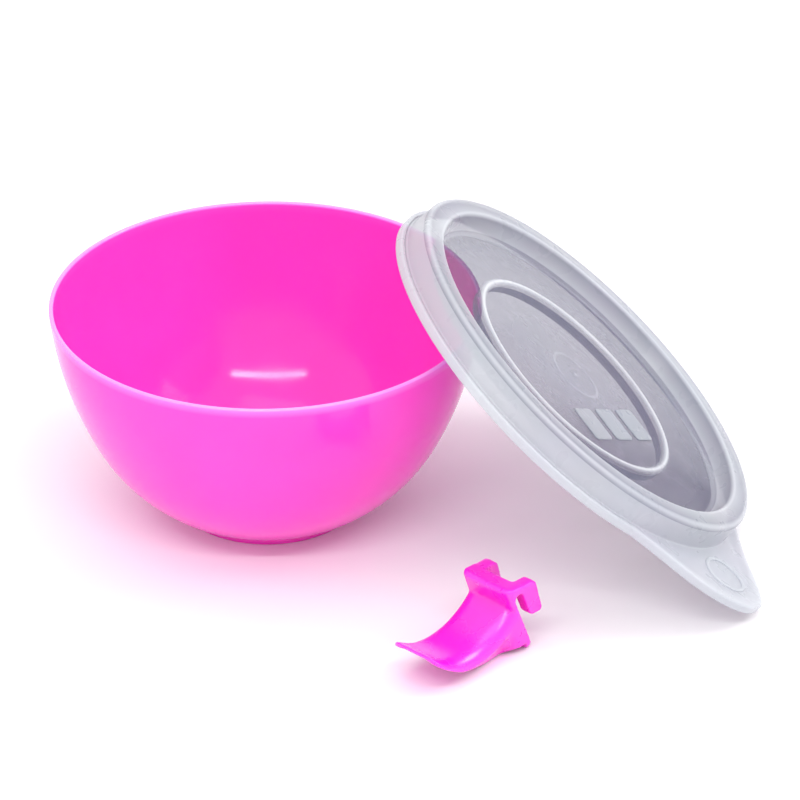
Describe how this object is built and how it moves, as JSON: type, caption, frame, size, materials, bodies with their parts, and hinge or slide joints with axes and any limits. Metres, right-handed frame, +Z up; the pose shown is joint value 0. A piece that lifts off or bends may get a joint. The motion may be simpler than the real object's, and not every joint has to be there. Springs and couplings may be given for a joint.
{
  "type": "hair color bowl with lid and rim handle",
  "caption": "Round moulded tint bowl on a foot ring, with a translucent snap lid leaning on its rim and a loose clip-on rim handle beside it.",
  "frame": {"origin": "centre of the foot ring's standing face, on the bowl's axis", "axes": "+Z up along the bowl's axis; +X towards the side on which the lid leans; the loose rim handle lies towards -Y"},
  "size_m": [0.243, 0.207, 0.1143],
  "materials": {
    "bowl_pink": "glossy injection moulded polypropylene, slightly translucent hot pink",
    "lid_frosted": "natural translucent polyethylene, satin, faint lavender grey",
    "handle_pink": "satin to glossy injection moulded hot pink"
  },
  "bodies": {
    "bowl": {"bowl": "bowl_pink"},
    "lid": {"lid": "lid_frosted"},
    "rim_handle": {"rim_handle": "handle_pink"}
  },
  "joints": [
    {"name": "lid_lift", "type": "slide", "parent": "bowl", "child": "lid", "axis": [0, 0, 1], "range_m": [0, 0.12]},
    {"name": "handle_lift", "type": "slide", "parent": "bowl", "child": "rim_handle", "axis": [0, -0.6, 0.8], "range_m": [0, 0.1]}
  ]
}
